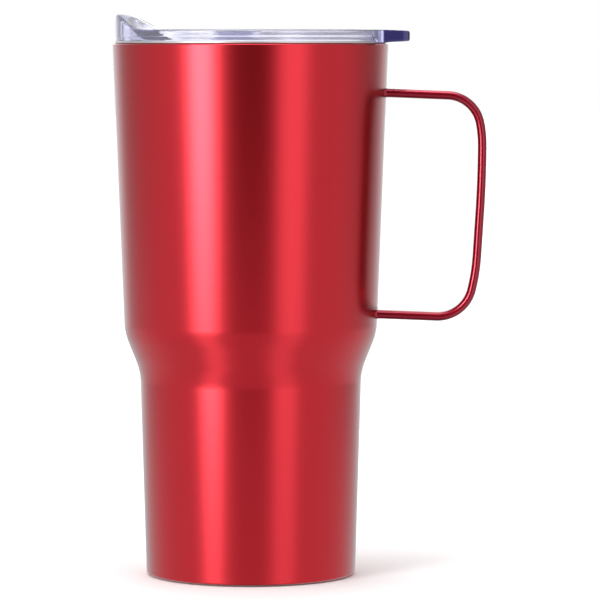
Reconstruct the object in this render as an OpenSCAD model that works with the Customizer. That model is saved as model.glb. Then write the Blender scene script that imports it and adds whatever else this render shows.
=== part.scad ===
// Insulated travel mug: a double-wall steel body with a welded strap handle, and a clear push-on lid
// with a raised mouthpiece, a pull tab and a thumb slide that shuts the pour opening.
// Millimetres. Z is up and is the mug's axis. The mug stands on z = 0 and its handle points to +X.

/* [Body] */
// Height of the coated shell's top edge
shell_h = 172.1; // [168:0.1:180]
// Radius at the shell's shoulder, its widest place
shoulder_r = 44.57; // [44.2:0.01:45.5]
// Height of the shoulder's corner below the shell's top edge
shoulder_drop = 0.8; // [0.7:0.05:0.9]
// Radius of the bend that rounds the shoulder
shoulder_bend = 2.5; // [2:0.1:2.6]
// Radius at the top of the step between the wide and the narrow part
step_high_r = 40.97; // [40.5:0.01:41.5]
// Height of the step's upper corner
step_high_z = 78.8; // [77:0.1:82]
// Bend radius of the step's upper corner
step_high_bend = 18; // [12:0.5:20]
// Radius at the bottom of the step
step_low_r = 35.95; // [35.5:0.01:36.5]
// Height of the step's lower corner
step_low_z = 66.2; // [63:0.1:68]
// Bend radius of the step's lower corner
step_low_bend = 20; // [12:0.5:22]
// Radius at the foot
foot_r = 34.0; // [33.7:0.05:34.5]
// Bend radius of the shell's bottom edge
foot_bend = 0.7; // [0.4:0.1:1]
// Thickness of the steel shell
shell_wall = 0.7; // [0.5:0.05:0.8]
// Width of the vacuum gap between shell and liner
vacuum_gap = 1.6; // [1.2:0.1:1.8]
// Thickness of the steel liner
liner_wall = 0.6; // [0.4:0.05:0.7]
// Inner radius of the liner's straight mouth
mouth_r = 41.5; // [41.3:0.05:41.6]
// Height of the polished lip above the shell's top edge
lip_h = 1.0; // [0.8:0.1:1.2]

/* [Base] */
// Depth of the recess in the foot
base_recess = 1.5; // [1:0.1:2]
// How far the base pad stands out of the foot
pad_proud = 0.4; // [0.2:0.1:0.6]
// Height of the liner's inside floor
floor_z = 9.0; // [8.5:0.1:12]
// Height of the seam between liner and floor
floor_seam_z = 14.0; // [13.5:0.1:16]

/* [Handle] */
// Width of the strap, across the handle
strap_w = 17; // [14:0.5:20]
// Thickness of the strap
strap_t = 2.85; // [2.2:0.05:3]
// Height of the strap's middle where its top leg meets the shell
strap_top_z = 156.4; // [150:0.05:158]
// Downward slope of the top leg, in degrees
strap_droop = 2.3; // [0:0.1:4]
// Distance from the mug's axis to the end of the top leg
strap_reach = 63.65; // [60:0.05:68]
// Length of the straight part of the grip
grip_len = 14.2; // [10:0.1:18]

/* [Lid] */
// Outer radius of the lid's flange
flange_r = 44.0; // [43.8:0.1:44.4]
// Thickness of the flange
flange_h = 3.6; // [3.2:0.1:4]
// Height of the mouthpiece above the flange
spout_rise = 5.2; // [4.5:0.1:6]
// Outer radius of the plug that goes into the mouth
plug_r = 40.5; // [40:0.1:40.7]
// Depth of the plug below the flange
plug_depth = 11.1; // [10.5:0.1:12]
// Distance from the mug's axis to the pull tab's tip
tab_reach = 51.1; // [49:0.1:54]
// Half width of the pull tab beyond its fillets
tab_half_w = 18.5; // [14:0.5:19]

/* [Slide closure] */
// How far the thumb slide moves
slide_travel = 12; // [11:0.5:12]
// Width of the thumb piece
knob_w = 17; // [14:0.5:20]
// Length of the thumb piece
knob_l = 17; // [15:0.5:18]

/* [Hidden] */
$fn = 96;
tiny = 0.01;
far = 200;

// Colours of the sub-parts
coat = [0.68, 0.10, 0.14];
steel = [0.72, 0.73, 0.75];
clear = [0.76, 0.77, 0.92, 0.45];
silicone = [0.90, 0.91, 0.95];

// A bend of radius r where the outline a-b-c turns at b, as bend_steps + 1 points on its arc
bend_steps = 12;
function unit(v) = v / norm(v);
function bend(a, b, c, r) =
    let (u = unit(a - b), w = unit(c - b),
         half = acos(u * w) / 2,
         centre = b + unit(u + w) * r / sin(half),
         p = b + u * r / tan(half) - centre,
         q = b + w * r / tan(half) - centre,
         start = atan2(p[1], p[0]),
         turn = (atan2(q[1], q[0]) - start + 540) % 360 - 180)
    [for (i = [0:bend_steps]) let (t = start + turn * i / bend_steps) centre + r * [cos(t), sin(t)]];

// The shell's outer outline, as [radius, height] from its bottom edge to its top edge
shell_z0 = pad_proud;
shell_top_r = shoulder_r - shoulder_drop;
foot_in = [foot_r - 3, shell_z0];
foot_corner = [foot_r, shell_z0];
step_low = [step_low_r, step_low_z];
step_high = [step_high_r, step_high_z];
shoulder = [shoulder_r, shell_h - shoulder_drop];
shell_top = [shell_top_r, shell_h];
outline = concat(
    bend(foot_in, foot_corner, step_low, foot_bend),
    bend(foot_corner, step_low, step_high, step_low_bend),
    bend(step_low, step_high, shoulder, step_high_bend),
    bend(step_high, shoulder, shell_top, shoulder_bend),
    [shell_top]);

// Radius of the shell's outside at height z
radius_table = [for (p = outline) [p[1], p[0]]];
function shell_r(z) = lookup(z, radius_table);

// Heights at which the walls between z0 and z1 need a point
function wall_heights(z0, z1) = concat([z0], [for (p = outline) if (p[1] > z0 && p[1] < z1) p[1]], [z1]);

// The outline between z0 and z1, moved inwards by d, going up or going down
function wall_up(z0, z1, d) = [for (z = wall_heights(z0, z1)) [shell_r(z) - d, z]];
function reversed(list) = [for (i = [len(list) - 1:-1:0]) list[i]];
function wall_down(z0, z1, d) = reversed(wall_up(z0, z1, d));

// Levels and radii of the base
base_z = shell_z0 + base_recess;
base_wall = 0.6;
base_skirt_top = 5.5;
base_corner = 2.2;
base_fit = 0.02;
rim_bend = 0.4;
well_r = 6;
well_depth = 1.0;
hole_r = 1.0;
bead_r = 2.4;
bead_h = 0.9;
tape_h = 0.15;
tape_r = 30.2;
pad_r = 30.6;
pad_round = 0.3;

// The getter and its clip, beside the well
getter_x = 16;
getter_r = 4.0;
getter_h = 1.4;
clip_wall = 0.3;
clip_h = 2.0;
clip_gap = 0.1;

// Levels of the liner
liner_out = shell_wall + vacuum_gap;
liner_in = liner_out + liner_wall;
floor_corner = 4;
straight_mouth_z = shell_h - 12.5;
taper_end_z = straight_mouth_z - 3;
rim_z = shell_h + lip_h;
lip_r = lip_h / 2;

// The foil follows the liner with a hair of room
foil_gap = 0.1;
foil_t = 0.15;
foil_z1 = taper_end_z - 4;

// The strap's route: two bends at the top corner, a long slight bow, the straight grip and the
// lower corner in two bends
corner_r = 11;
corner_a = 76.8;
ease_r = 38.5;
ease_a = 11.1;
bow_r = 356;
bow_a = 3.4;
low_ease_r = 64;
low_ease_a = 10.1;
low_corner_r = 11.3;
low_corner_a = 78.5;
strap_start_x = 40;
low_leg = 26;
edge_layers = 3;
route_steps = 9;
top_leg = (strap_reach - strap_start_x) / cos(strap_droop);
route_start = [strap_start_x, strap_top_z + (44 - strap_start_x) * tan(strap_droop), -strap_droop];
function arc_length(r, a) = r * a * PI / 180;
pieces = [[top_leg, 0],
          [arc_length(corner_r, corner_a), corner_a],
          [arc_length(ease_r, ease_a), ease_a],
          [arc_length(bow_r, bow_a), bow_a],
          [grip_len, 0],
          [arc_length(low_ease_r, low_ease_a), low_ease_a],
          [arc_length(low_corner_r, low_corner_a), low_corner_a],
          [low_leg, 0]];

// Part k of a piece of the route, from p = [x, z, heading]: a piece is a length and the angle it turns down
function along(p, piece, k) =
    let (turn = piece[1] * k,
         chord = piece[0] * k * (turn == 0 ? 1 : sin(turn / 2) / (turn * PI / 360)),
         mid = p[2] - turn / 2)
    [p[0] + chord * cos(mid), p[1] + chord * sin(mid), p[2] - turn];
function walk(p, i) = i == len(pieces) ? [p] :
    let (n = pieces[i][1] == 0 ? 1 : route_steps)
    concat([for (k = [0:n - 1]) along(p, pieces[i], k / n)], walk(along(p, pieces[i], 1), i + 1));
route = walk(route_start, 0);

// Levels of the lid, from the lip up
flange_z = rim_z;
flange_top = rim_z + flange_h;
spout_top = flange_top + spout_rise;
flange_step_z = rim_z + 1.3;
flange_step = 0.3;
edge_round = 0.8;
plug_z = rim_z - plug_depth;
plug_in_r = 37.9;
plug_chamfer = 0.8;
deck_top = flange_top - 5.3;
deck_t = 1.8;
deck_z = deck_top - deck_t;
dish_r = 39.5;
dish_draft = 0.6;

// The gasket and its groove
groove_r = 39.3;
groove_z = plug_z + 2.6;
groove_h = 4.2;
gasket_gap = 0.05;
gasket_r = mouth_r - 0.05;
gasket_band_r = 40.3;
fin_pitch = 1.5;
fin_h = 0.7;

// The mouthpiece: a ramp that climbs from the deck to a flat top, narrowing to a bell in the front view
spout_flat_r = 38.6;
ramp_slope = 0.56;
ramp_floor_x = spout_flat_r - (spout_top - deck_top) / ramp_slope;
bell_flat = 9.5;
bell_half = 30;
spout_lip = 1.2;

// The pour path: an opening in the deck, the hollow below the ramp and the slot that one drinks from
pour_r = 36;
pour_x = 26;
pour_half_w = 12;
ramp_wall = 1.9;
slot_x = 33.6;
slot_l = 5;
slot_w = 17;
vent_r = 0.8;
vent_x = 31;

// The pull tab
tab_corner = 2.5;
tab_root_x = 38.2;
tab_root_y = 21.8;
tab_neck_x = 41.5;
tab_fillet = 4.5;
tab_root_z = flange_z - 0.7;
tab_tip_z = flange_z - 0.3;
tab_tip_top = flange_top - 0.25;
tab_inner_r = 41;
tab_clear_r = 44.0;
tab_end_r = 1.3;

// The slide closure, drawn shut
knob_x = -5;
knob_gap = 0.1;
knob_base_h = 1.4;
knob_top = flange_top - 0.4;
post_l = 8;
post_w = 5;
track_gap = 0.2;
gate_t = 2.0;
gate_half_w = 13.6;
gate_r = 37.4;
gate_end_x = 2;
seal_gap = 0.05;
seal_h = 1.1;
seal_proud = 0.5;
seal_r = 37.1;
seal_half_w = 13.2;
seal_end_x = -24.6;
gate_top = deck_z - seal_gap - seal_proud;
gate_z = gate_top - gate_t;
barb_h = 0.9;
barb_out = 0.6;
rib_h = 0.5;
rib_pitch = 2.2;

// The space inside the outline, used to trim what is welded to the shell
module shell_space() {
    rotate_extrude() polygon(concat([[0, shell_z0]], outline, [[0, shell_h]]));
}

module base_pad() {
    color([0.12, 0.12, 0.13]) rotate_extrude() {
        difference() {
            square([pad_r, base_z - tape_h]);
            translate([pad_r - pad_round, -tiny]) square([1, pad_round + tiny]);
        }
        translate([pad_r - pad_round, pad_round]) circle(pad_round, $fn = 24);
    }
}

module pad_tape() {
    color([0.85, 0.82, 0.70]) translate([0, 0, base_z - tape_h]) cylinder(h = tape_h, r = tape_r);
}

// The dish: a skirt against the inside of the shell, a flat floor and a well with the pump-out hole
module outer_base() {
    gap = shell_wall + base_fit;
    low_z = shell_z0 + foot_bend;
    in_r = shell_r(low_z) - gap - base_wall;
    floor_top = base_z + base_wall;
    color(steel) difference() {
        rotate_extrude() polygon(concat(
            [[0, base_z]],
            bend([0, base_z], [in_r, base_z], [in_r, low_z], rim_bend),
            [[in_r, low_z]],
            wall_up(low_z, base_skirt_top, gap),
            wall_down(floor_top + base_corner, base_skirt_top, gap + base_wall),
            bend([in_r, base_skirt_top], [in_r, floor_top], [0, floor_top], base_corner),
            [[well_r + base_wall, floor_top],
             [well_r + base_wall, floor_top + well_depth],
             [0, floor_top + well_depth]]));
        translate([0, 0, base_z - tiny]) cylinder(h = well_depth + tiny, r = well_r);
        translate([0, 0, base_z]) cylinder(h = 3, r = hole_r);
    }
}

// A drop of solder in the well: a dome below the hole and a plug in it
module seal_bead() {
    well_z = base_z + well_depth;
    dome_r = (bead_r * bead_r + bead_h * bead_h) / (2 * bead_h);
    color([0.60, 0.60, 0.58]) {
        intersection() {
            translate([0, 0, well_z - bead_h + dome_r]) sphere(dome_r);
            translate([0, 0, well_z - bead_h]) cylinder(h = bead_h, r = bead_r);
        }
        translate([0, 0, well_z - tiny]) cylinder(h = base_wall + tiny, r = hole_r);
    }
}

module getter_clip() {
    color(steel) translate([getter_x, 0, base_z + base_wall]) difference() {
        cylinder(h = clip_h, r = getter_r + clip_gap + clip_wall);
        translate([0, 0, clip_wall]) cylinder(h = clip_h, r = getter_r + clip_gap);
    }
}

module getter() {
    color([0.35, 0.35, 0.37]) translate([getter_x, 0, base_z + base_wall + clip_wall])
        cylinder(h = getter_h, r = getter_r);
}

module foil_base() {
    low = floor_z - liner_wall;
    color([0.85, 0.52, 0.35]) translate([0, 0, low - foil_gap - foil_t])
        cylinder(h = foil_t, r = shell_r(floor_z) - liner_out - floor_corner - 1);
}

// A shallow cup whose rounded edge turns up to meet the liner at the seam
module liner_floor() {
    out_r = shell_r(floor_seam_z) - liner_out;
    low = floor_z - liner_wall;
    color(steel) rotate_extrude() polygon(concat(
        [[0, low]],
        bend([0, low], [out_r, low], [out_r, floor_seam_z], floor_corner + liner_wall),
        [[out_r, floor_seam_z], [out_r - liner_wall, floor_seam_z]],
        bend([out_r - liner_wall, floor_seam_z], [out_r - liner_wall, floor_z], [0, floor_z], floor_corner),
        [[0, floor_z]]));
}

module foil_wrap() {
    z0 = floor_seam_z + 1;
    in_d = liner_out - foil_gap;
    color([0.85, 0.52, 0.35]) rotate_extrude()
        polygon(concat(wall_up(z0, foil_z1, in_d - foil_t), wall_down(z0, foil_z1, in_d)));
}

// The liner: a tapered wall, a straight mouth for the lid and a rounded lip over the shell's top edge
module inner_liner() {
    mouth_out_r = mouth_r + liner_wall;
    color(steel) rotate_extrude() union() {
        polygon(concat(
            wall_up(floor_seam_z, taper_end_z, liner_out),
            [[mouth_out_r, straight_mouth_z], [mouth_out_r, shell_h],
             [shell_top_r - lip_r, shell_h], [shell_top_r - lip_r, rim_z]],
            bend([shell_top_r, rim_z], [mouth_r, rim_z], [mouth_r, shell_h - 1], lip_r),
            [[mouth_r, straight_mouth_z]],
            wall_down(floor_seam_z, taper_end_z, liner_in)));
        translate([shell_top_r - lip_r, shell_h + lip_r]) circle(lip_r, $fn = 32);
    }
}

module outer_shell() {
    color(coat) rotate_extrude() polygon(concat(
        outline,
        [[shell_top_r - shell_wall, shell_h]],
        wall_down(shell_z0, shell_h - shoulder_drop, shell_wall)));
}

// The strap's outline in its side view, t thick
module ribbon(t) {
    polygon(concat(
        [for (p = route) [p[0] - sin(p[2]) * t / 2, p[1] + cos(p[2]) * t / 2]],
        reversed([for (p = route) [p[0] + sin(p[2]) * t / 2, p[1] - cos(p[2]) * t / 2]])));
}

// The handle: one strap bent to its route, its edges rounded in layers, cut to the shell's surface
module handle() {
    color(coat) difference() {
        rotate([90, 0, 0]) for (a = [90 / edge_layers / 2:90 / edge_layers:90]) {
            w = strap_w - strap_t * (1 - sin(a));
            translate([0, 0, -w / 2]) linear_extrude(w) ribbon(strap_t * cos(a - 90 / edge_layers / 2));
        }
        shell_space();
    }
}

// A silicone band in the plug's groove with two fins that press on the liner
module lid_gasket() {
    low = groove_z + gasket_gap;
    high = groove_z + groove_h - gasket_gap;
    color(silicone) rotate_extrude() {
        translate([groove_r + gasket_gap, low]) square([gasket_band_r - groove_r - gasket_gap, high - low]);
        for (side = [-1, 1]) translate([gasket_band_r - tiny, (low + high) / 2 + side * fin_pitch / 2])
            polygon([[0, -fin_h / 2], [gasket_r - gasket_band_r, fin_h / 4],
                     [gasket_r - gasket_band_r, fin_h / 2], [0, fin_h / 2]]);
    }
}

// The mouthpiece's front view: flat on top, falling to the flange in a bell on each side
function bell(y) = let (t = min(1, max(0, (abs(y) - bell_flat) / (bell_half - bell_flat))))
    (1 + cos(180 * pow(t, 0.8))) / 2;
module spout_bell() {
    steps = 64;
    polygon(concat(
        [[-far, deck_z], [-far, flange_top - 1], [-flange_r, flange_top - 1], [-flange_r, flange_top]],
        [for (i = [0:steps]) let (y = bell_half * (2 * i / steps - 1))
            [y, flange_top + spout_rise * bell(y)]],
        [[flange_r, flange_top], [flange_r, flange_top - 1], [far, flange_top - 1], [far, deck_z]]));
}

// The mouthpiece and its ramp, inside the flange's circle
module spout() {
    intersection() {
        rotate([90, 0, 90]) translate([0, 0, -flange_r - 1]) linear_extrude(flange_r) spout_bell();
        rotate([90, 0, 0]) translate([0, 0, -far / 2]) linear_extrude(far) polygon([
            [-flange_r - 1, deck_z], [-flange_r - 1, spout_top], [-spout_flat_r, spout_top],
            [-ramp_floor_x, deck_top], [-ramp_floor_x, deck_z]]);
        rotate_extrude() polygon([
            [0, deck_z], [dish_r, deck_z], [dish_r, flange_z + 1],
            [flange_r - 2, flange_z + 1], [flange_r - 2, flange_top - 1],
            [flange_r, flange_top - 1], [flange_r, spout_top - spout_lip],
            [flange_r - spout_lip * 0.3, spout_top - spout_lip * 0.3],
            [flange_r - spout_lip, spout_top], [0, spout_top]]);
    }
}

// The hollow below the ramp, the opening in the deck and the drinking slot
module pour_path() {
    intersection() {
        translate([-pour_r - 1, -pour_half_w, deck_z - 1]) cube([pour_r + 1 - pour_x, 2 * pour_half_w, far]);
        cylinder(h = far, r = pour_r);
        rotate([90, 0, 0]) translate([0, 0, -far / 2]) linear_extrude(far) polygon([
            [-pour_r - 1, deck_z - 1],
            [-pour_r - 1, deck_top + (pour_r + 1 - ramp_floor_x) * ramp_slope - ramp_wall],
            [-pour_x, deck_top + (pour_x - ramp_floor_x) * ramp_slope - ramp_wall],
            [-pour_x, deck_z - 1]]);
    }
    translate([-slot_x, 0, deck_top]) linear_extrude(far) {
        square([slot_l, slot_w - slot_l], center = true);
        for (side = [-1, 1]) translate([0, side * (slot_w - slot_l) / 2]) circle(d = slot_l);
    }
}

// The pull tab's plan: a tongue with round corners that runs into the flange through two fillets
module tab_plan() {
    tip = tab_reach - tab_corner;
    translate([tab_inner_r - 6, -tab_half_w]) square([tip - tab_inner_r + 6, 2 * tab_half_w]);
    translate([tip - 1, -tab_half_w + tab_corner])
        square([tab_corner + 1, 2 * (tab_half_w - tab_corner)]);
    for (side = [-1, 1]) {
        translate([tip, side * (tab_half_w - tab_corner)]) circle(tab_corner);
        polygon(concat(
            [[tab_root_x, side * tab_half_w], [tab_root_x, side * tab_root_y]],
            bend([tab_root_x, side * tab_root_y], [tab_neck_x - 1.5, side * (tab_half_w + 0.4)],
                 [tab_reach, side * tab_half_w], tab_fillet),
            [[tab_neck_x + 2, side * tab_half_w]]));
    }
}

// The pull tab: its plan, cut to a side view that thins towards a round tip
module pull_tab() {
    tip_mid = (tab_tip_z + tab_tip_top) / 2;
    difference() {
        intersection() {
            translate([0, 0, tab_root_z - 1]) linear_extrude(flange_h + 3) tab_plan();
            rotate([90, 0, 0]) translate([0, 0, -far / 2]) linear_extrude(far) union() {
                polygon([[tab_inner_r - 8, tab_root_z], [tab_clear_r, tab_root_z],
                         [tab_reach - tab_end_r, tab_tip_z], [tab_reach - tab_end_r, tab_tip_top],
                         [tab_clear_r - 1, flange_top], [tab_inner_r - 8, flange_top]]);
                translate([tab_reach - tab_end_r - tiny, tab_tip_z])
                    square([tab_end_r + tiny - 0.4, tab_tip_top - tab_tip_z]);
                translate([tab_reach - tab_end_r - tiny, tip_mid - 0.9])
                    square([tab_end_r + tiny, 1.8]);
            }
        }
        translate([0, 0, tab_root_z - 2]) cylinder(h = flange_z - tab_root_z + 2, r = tab_clear_r);
        translate([0, 0, tab_root_z - 2]) cylinder(h = flange_h + 6, r = tab_inner_r);
    }
}

// The lid: flange, plug skirt, deck and mouthpiece in one moulding, with all its openings
module lid_body() {
    slot_x0 = knob_x - post_l / 2 - track_gap;
    color(clear) difference() {
        union() {
            rotate_extrude() difference() {
                polygon(concat(
                    [[plug_in_r, plug_z], [plug_r - plug_chamfer, plug_z], [plug_r, plug_z + plug_chamfer],
                     [plug_r, groove_z], [groove_r, groove_z], [groove_r, groove_z + groove_h],
                     [plug_r, groove_z + groove_h], [plug_r, flange_z],
                     [flange_r - flange_step, flange_z], [flange_r - flange_step, flange_step_z],
                     [flange_r, flange_step_z]],
                    bend([flange_r, flange_step_z], [flange_r, flange_top], [dish_r, flange_top], edge_round),
                    [[dish_r + dish_draft, flange_top], [dish_r, deck_top], [0, deck_top], [0, deck_z],
                     [plug_in_r, deck_z]]));
            }
            spout();
            pull_tab();
        }
        pour_path();
        translate([slot_x0, -post_w / 2 - track_gap, deck_z - 1])
            cube([post_l + slide_travel + 2 * track_gap, post_w + 2 * track_gap, deck_t + 2]);
        translate([vent_x, 0, deck_z - 1]) cylinder(h = deck_t + 2, r = vent_r, $fn = 32);
    }
}

// The thumb piece: a plate that slides on the deck, a ribbed grip, and a post through the deck's track
module slider_knob() {
    low = deck_top + knob_gap;
    corner = 3;
    grip_l = 6.5;
    rise = knob_top - rib_h - low - knob_base_h;
    color([0.30, 0.30, 0.52]) translate([knob_x, 0, 0]) {
        translate([0, 0, low]) linear_extrude(knob_base_h) {
            square([knob_l, knob_w - 2 * corner], center = true);
            square([knob_l - 2 * corner, knob_w], center = true);
            for (sx = [-1, 1]) for (sy = [-1, 1])
                translate([sx * (knob_l / 2 - corner), sy * (knob_w / 2 - corner)]) circle(corner);
        }
        translate([0, 0, low + knob_base_h - tiny])
            rotate([90, 0, 0]) translate([0, 0, -knob_w / 2 + 1.5]) linear_extrude(knob_w - 3)
            polygon([[-grip_l, 0], [-grip_l / 2, rise], [grip_l / 2, rise], [grip_l, 0]]);
        for (i = [-1:1]) translate([i * rib_pitch - 0.5, -knob_w / 2 + 2.5, low + knob_base_h + rise - 0.3])
            cube([1, knob_w - 5, rib_h + 0.3]);
        translate([-post_l / 2, -post_w / 2, gate_z - seal_gap]) cube([post_l, post_w, low - gate_z + 0.2]);
        translate([-post_l / 2, -post_w / 2 - barb_out, gate_z - seal_gap - barb_h])
            cube([post_l, post_w + 2 * barb_out, barb_h]);
    }
}

// The gate's plan: straight sides and a front that follows the plug's inside
module gate_plan(half_w, r, end_x) {
    intersection() {
        translate([-far, -half_w]) square([far + end_x, 2 * half_w]);
        circle(r, $fn = 180);
    }
}

module slider_gate() {
    socket = 0.05;
    color(clear) translate([0, 0, gate_z]) difference() {
        linear_extrude(gate_t) gate_plan(gate_half_w, gate_r, gate_end_x);
        translate([0, 0, gate_t - seal_h + seal_proud - tiny]) linear_extrude(gate_t)
            gate_plan(seal_half_w + socket, seal_r + socket, seal_end_x + socket);
        translate([knob_x - post_l / 2 - socket, -post_w / 2 - socket, -1])
            cube([post_l + 2 * socket, post_w + 2 * socket, gate_t + 2]);
    }
}

module gate_seal() {
    color(silicone) translate([0, 0, gate_top + seal_proud - seal_h])
        linear_extrude(seal_h) gate_plan(seal_half_w, seal_r, seal_end_x);
}

base_pad();
pad_tape();
outer_base();
seal_bead();
getter_clip();
getter();
foil_base();
liner_floor();
foil_wrap();
inner_liner();
outer_shell();
handle();
lid_gasket();
lid_body();
slider_knob();
slider_gate();
gate_seal();
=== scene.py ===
import math

import bmesh
import bpy
import numpy as np
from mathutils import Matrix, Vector


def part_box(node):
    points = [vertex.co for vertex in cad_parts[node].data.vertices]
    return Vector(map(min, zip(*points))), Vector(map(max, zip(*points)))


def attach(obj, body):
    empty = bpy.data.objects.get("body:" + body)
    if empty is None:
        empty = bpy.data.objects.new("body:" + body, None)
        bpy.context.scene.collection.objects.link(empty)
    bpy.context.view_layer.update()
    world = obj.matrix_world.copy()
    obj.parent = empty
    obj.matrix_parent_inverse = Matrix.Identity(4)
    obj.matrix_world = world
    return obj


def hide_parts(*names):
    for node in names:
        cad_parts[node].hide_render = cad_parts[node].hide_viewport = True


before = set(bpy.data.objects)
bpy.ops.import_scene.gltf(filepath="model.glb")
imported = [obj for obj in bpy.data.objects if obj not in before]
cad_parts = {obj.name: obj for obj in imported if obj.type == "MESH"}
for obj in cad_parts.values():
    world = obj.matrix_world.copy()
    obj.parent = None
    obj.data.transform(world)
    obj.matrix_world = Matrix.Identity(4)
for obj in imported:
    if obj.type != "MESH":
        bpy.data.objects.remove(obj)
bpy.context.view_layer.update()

# The looks of an insulated travel mug: a red coated steel body with a welded strap handle, and a
# clear push-on lid. Outlines are in millimetres, as [radius, height] or [x, z], in the frame's axes.
MM = 0.001

# Levels that every piece is built from
SHELL_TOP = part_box("outer_shell")[1][2] / MM
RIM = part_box("inner_liner")[1][2] / MM
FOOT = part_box("outer_shell")[0][2] / MM

# The shell's outline, from its foot to its shoulder
FOOT_R = 34.0
STEP_LOW = (35.95, 66.2)
STEP_HIGH = (40.97, 78.8)
SHOULDER = (44.6, SHELL_TOP)
TOP_R = 43.77
FOOT_ROUND = 0.7
STEP_LOW_ROUND = 20
STEP_HIGH_ROUND = 18
SHOULDER_ROUND = 0.45
SHELL_WALL = 0.7
GAP = 1.6
LINER_WALL = 0.6
MOUTH_R = 41.5
MOUTH_DEPTH = 12.5  # how far down from the shell's top the liner's mouth is straight
MOUTH_EASE = 3.0  # height over which the liner narrows below it
FLOOR_Z = 9.0
FLOOR_SEAM = 14.0
FLOOR_ROUND = 4.0
AROUND = 256  # facets round the body


# ---------------------------------------------------------------------------- mesh helpers

def toward(a, b):
    """The unit vector from a to b."""
    d = Vector((b[0] - a[0], b[1] - a[1]))
    return d / d.length


def bend(a, b, c, r, steps=10):
    """The outline's corner b, between a and c, rounded to radius r."""
    b = Vector(b)
    u, w = toward(b, a), toward(b, c)
    half = u.angle(w) / 2
    centre = b + (u + w).normalized() * r / math.sin(half)
    p = b + u * r / math.tan(half) - centre
    q = b + w * r / math.tan(half) - centre
    start = math.atan2(p.y, p.x)
    turn = (math.atan2(q.y, q.x) - start + 3 * math.pi) % (2 * math.pi) - math.pi
    angles = [start + turn * i / steps for i in range(steps + 1)]
    return [(centre.x + r * math.cos(t), centre.y + r * math.sin(t)) for t in angles]


def rounded(points, radii, steps=6):
    """A closed outline with each corner rounded to its own radius, 0 for a sharp one."""
    out = []
    for i, (p, r) in enumerate(zip(points, radii)):
        before, after = points[i - 1], points[(i + 1) % len(points)]
        out += bend(before, p, after, r, steps) if r else [tuple(p)]
    return out


def piece(name, verts, faces, body, material, replaces=(), slot=None, sharp=35):
    """A smooth-shaded mesh in millimetres that rides on a body and stands for CAD nodes."""
    mesh = bpy.data.meshes.new(name)
    mesh.from_pydata([(x * MM, y * MM, z * MM) for x, y, z in verts], [], faces)
    bm = bmesh.new()
    bm.from_mesh(mesh)
    bmesh.ops.remove_doubles(bm, verts=bm.verts, dist=1e-7)
    bmesh.ops.recalc_face_normals(bm, faces=bm.faces)
    bm.to_mesh(mesh)
    bm.free()
    obj = bpy.data.objects.new(name, mesh)
    bpy.context.scene.collection.objects.link(obj)
    return dress(obj, body, material, replaces, sharp)


def dress(obj, body, material, replaces=(), sharp=35):
    """Shading, material, body, and the CAD nodes that a piece stands for."""
    obj.data.shade_smooth()
    obj.data.set_sharp_from_angle(angle=math.radians(sharp))
    obj.data.materials.clear()
    obj.data.materials.append(material)
    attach(obj, body)
    if replaces:
        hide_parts(*replaces)
    return obj


def lathe_mesh(outline, around=AROUND):
    """A closed outline turned about Z, as vertices and faces."""
    verts, rings, faces = [], [], []
    for r, z in outline:
        if r < 1e-6:
            rings.append([len(verts)] * around)
            verts.append((0, 0, z))
            continue
        rings.append(list(range(len(verts), len(verts) + around)))
        for k in range(around):
            t = 2 * math.pi * k / around
            verts.append((r * math.cos(t), r * math.sin(t), z))
    for i, low in enumerate(rings):
        high = rings[(i + 1) % len(rings)]
        for k in range(around):
            n = (k + 1) % around
            face = list(dict.fromkeys((low[k], low[n], high[n], high[k])))
            if len(face) > 2:
                faces.append(face)
    return verts, faces


def lathe(name, outline, body, material, replaces=(), slot=None, around=AROUND, sharp=35):
    """A turned piece."""
    verts, faces = lathe_mesh(outline, around)
    return piece(name, verts, faces, body, material, replaces, slot, sharp)


def prism_mesh(plan, low, high):
    """A plan outline between two heights, each a number or a function of x and y."""
    def at(level, p):
        return level(*p) if callable(level) else level

    n = len(plan)
    verts = [(*p, at(low, p)) for p in plan] + [(*p, at(high, p)) for p in plan]
    faces = [list(range(n))[::-1], list(range(n, 2 * n))]
    faces += [[i, (i + 1) % n, n + (i + 1) % n, n + i] for i in range(n)]
    return verts, faces


def soft_prism(name, plan, low, high, edge, body, material, replaces=(), slot=None):
    """A flat moulded part: a plan outline with its top and bottom edges rounded."""
    obj = piece(name, *prism_mesh(plan, low, high), body, material, replaces, slot)
    soften(obj, edge)
    return obj


def soften(obj, edge, segments=3, angle=40):
    """Round edges in millimetres, as a modifier."""
    bevel = obj.modifiers.new("edges", "BEVEL")
    bevel.width = edge * MM
    bevel.segments = segments
    bevel.limit_method = "ANGLE"
    bevel.angle_limit = math.radians(angle)
    bevel.harden_normals = True


# ---------------------------------------------------------------------------- materials

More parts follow.
